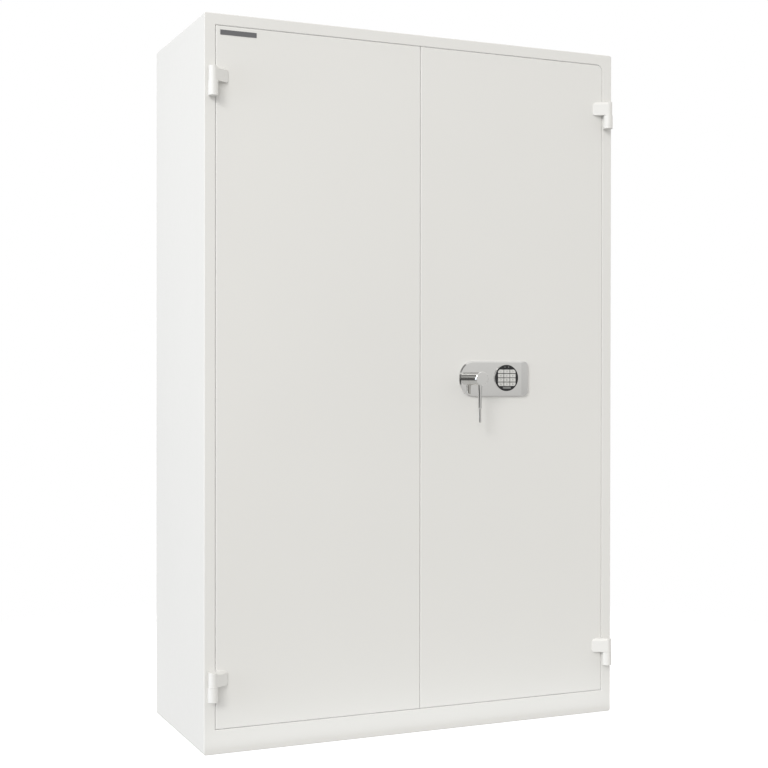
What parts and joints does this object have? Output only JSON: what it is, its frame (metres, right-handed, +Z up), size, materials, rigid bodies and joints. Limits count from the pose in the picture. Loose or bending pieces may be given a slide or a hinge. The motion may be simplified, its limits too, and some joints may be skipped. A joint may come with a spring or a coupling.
{
  "type": "office cabinet",
  "caption": "Tall two-door steel office cabinet with double walls, outside hinges, a lever handle, a round keypad lock, locking rods and folded shelves.",
  "frame": {"origin": "on the floor, at the middle of the body's footprint, without hinges and handle", "axes": "+X to the right as seen from the front, +Y from the front to the back, +Z up"},
  "size_m": [1.25, 0.558, 1.95],
  "materials": {
    "outer_paint": "light grey powder coat with a fine texture",
    "inner_paint": "light grey satin powder coat",
    "filling": "cast mineral filling, hidden",
    "fire_board": "mineral fire board, hidden",
    "seal_rubber": "dark swelling seal",
    "zinc_steel": "bright zinc plate",
    "mirror_chrome": "polished chrome plate",
    "black_plastic": "black moulded plastic",
    "dark_grey_plastic": "dark grey moulded key",
    "grey_plastic": "light grey moulded keys",
    "dark_plate": "dark satin plate without text"
  },
  "bodies": {
    "cabinet": {"side_left": "outer_paint", "side_right": "outer_paint", "top_panel": "outer_paint", "floor_panel": "outer_paint", "back_panel": "outer_paint", "front_frame": "outer_paint", "liner_left": "inner_paint", "liner_right": "inner_paint", "liner_top": "inner_paint", "liner_floor": "inner_paint", "liner_back": "inner_paint", "wall_insulation": "filling", "door_seal": "seal_rubber", "shelf_rails": "zinc_steel", "shelf_clips": "zinc_steel", "shelf_1": "inner_paint", "shelf_2": "inner_paint", "shelf_3": "inner_paint", "shelf_4": "inner_paint", "hinge_pins": "zinc_steel", "hinge_bases_left": "outer_paint", "hinge_bases_right": "outer_paint"},
    "left_door": {"left_skin": "outer_paint", "left_board": "fire_board", "left_cover": "inner_paint", "hinge_leaf_left_top": "outer_paint", "hinge_leaf_left_bottom": "outer_paint", "left_bolt_guides": "zinc_steel", "nameplate": "dark_plate"},
    "top_bolt": {"left_bolt_top": "zinc_steel"},
    "bottom_bolt": {"left_bolt_bottom": "zinc_steel"},
    "right_door": {"right_skin": "outer_paint", "right_board": "fire_board", "right_cover": "inner_paint", "hinge_leaf_right_top": "outer_paint", "hinge_leaf_right_bottom": "outer_paint", "lock_plate": "mirror_chrome", "keypad_body": "black_plastic", "rod_guides": "zinc_steel", "lock_case": "zinc_steel", "lock_blocker": "black_plastic"},
    "handle_set": {"handle": "mirror_chrome", "spindle": "zinc_steel", "pinion": "zinc_steel"},
    "upper_rod": {"rod_top": "zinc_steel"},
    "lower_rod": {"rod_bottom": "zinc_steel"},
    "block_pin": {"blocker_pin": "zinc_steel"},
    "key_1_cap": {"key_1": "grey_plastic"},
    "key_2_cap": {"key_2": "grey_plastic"},
    "key_3_cap": {"key_3": "grey_plastic"},
    "key_4_cap": {"key_4": "grey_plastic"},
    "key_5_cap": {"key_5": "grey_plastic"},
    "key_6_cap": {"key_6": "grey_plastic"},
    "key_7_cap": {"key_7": "grey_plastic"},
    "key_8_cap": {"key_8": "grey_plastic"},
    "key_9_cap": {"key_9": "grey_plastic"},
    "key_star_cap": {"key_star": "grey_plastic"},
    "key_0_cap": {"key_0": "grey_plastic"},
    "key_hash_cap": {"key_hash": "grey_plastic"},
    "key_enter_cap": {"key_enter": "dark_grey_plastic"}
  },
  "joints": [
    {"name": "left_door_swing", "type": "hinge", "parent": "cabinet", "child": "left_door", "pos_m": [-0.6045, -0.264, 0], "axis": [0, 0, -1], "range_deg": [0, 180]},
    {"name": "right_door_swing", "type": "hinge", "parent": "cabinet", "child": "right_door", "pos_m": [0.6045, -0.264, 0], "axis": [0, 0, 1], "range_deg": [0, 180]},
    {"name": "handle_turn", "type": "hinge", "parent": "right_door", "child": "handle_set", "pos_m": [0.165, -0.25, 0.9905], "axis": [0, 1, 0], "range_deg": [0, 90]},
    {"name": "upper_rod_slide", "type": "slide", "parent": "right_door", "child": "upper_rod", "axis": [0, 0, 1], "range_m": [0, 0.0189]},
    {"name": "lower_rod_slide", "type": "slide", "parent": "right_door", "child": "lower_rod", "axis": [0, 0, -1], "range_m": [0, 0.0189]},
    {"name": "top_bolt_slide", "type": "slide", "parent": "left_door", "child": "top_bolt", "axis": [0, 0, 1], "range_m": [0, 0.018]},
    {"name": "bottom_bolt_slide", "type": "slide", "parent": "left_door", "child": "bottom_bolt", "axis": [0, 0, -1], "range_m": [0, 0.018]},
    {"name": "block_pin_slide", "type": "slide", "parent": "right_door", "child": "block_pin", "axis": [0, 0, -1], "range_m": [0, 0.003]},
    {"name": "key_1_press", "type": "slide", "parent": "right_door", "child": "key_1_cap", "axis": [0, 1, 0], "range_m": [0, 0.001], "stiffness_N_per_m": 300},
    {"name": "key_2_press", "type": "slide", "parent": "right_door", "child": "key_2_cap", "axis": [0, 1, 0], "range_m": [0, 0.001], "stiffness_N_per_m": 300},
    {"name": "key_3_press", "type": "slide", "parent": "right_door", "child": "key_3_cap", "axis": [0, 1, 0], "range_m": [0, 0.001], "stiffness_N_per_m": 300},
    {"name": "key_4_press", "type": "slide", "parent": "right_door", "child": "key_4_cap", "axis": [0, 1, 0], "range_m": [0, 0.001], "stiffness_N_per_m": 300},
    {"name": "key_5_press", "type": "slide", "parent": "right_door", "child": "key_5_cap", "axis": [0, 1, 0], "range_m": [0, 0.001], "stiffness_N_per_m": 300},
    {"name": "key_6_press", "type": "slide", "parent": "right_door", "child": "key_6_cap", "axis": [0, 1, 0], "range_m": [0, 0.001], "stiffness_N_per_m": 300},
    {"name": "key_7_press", "type": "slide", "parent": "right_door", "child": "key_7_cap", "axis": [0, 1, 0], "range_m": [0, 0.001], "stiffness_N_per_m": 300},
    {"name": "key_8_press", "type": "slide", "parent": "right_door", "child": "key_8_cap", "axis": [0, 1, 0], "range_m": [0, 0.001], "stiffness_N_per_m": 300},
    {"name": "key_9_press", "type": "slide", "parent": "right_door", "child": "key_9_cap", "axis": [0, 1, 0], "range_m": [0, 0.001], "stiffness_N_per_m": 300},
    {"name": "key_star_press", "type": "slide", "parent": "right_door", "child": "key_star_cap", "axis": [0, 1, 0], "range_m": [0, 0.001], "stiffness_N_per_m": 300},
    {"name": "key_0_press", "type": "slide", "parent": "right_door", "child": "key_0_cap", "axis": [0, 1, 0], "range_m": [0, 0.001], "stiffness_N_per_m": 300},
    {"name": "key_hash_press", "type": "slide", "parent": "right_door", "child": "key_hash_cap", "axis": [0, 1, 0], "range_m": [0, 0.001], "stiffness_N_per_m": 300},
    {"name": "key_enter_press", "type": "slide", "parent": "right_door", "child": "key_enter_cap", "axis": [0, 1, 0], "range_m": [0, 0.001], "stiffness_N_per_m": 300}
  ],
  "couplings": [
    {"joint": "upper_rod_slide", "follows": "handle_turn", "m_per_rad": 0.012},
    {"joint": "lower_rod_slide", "follows": "handle_turn", "m_per_rad": 0.012}
  ]
}
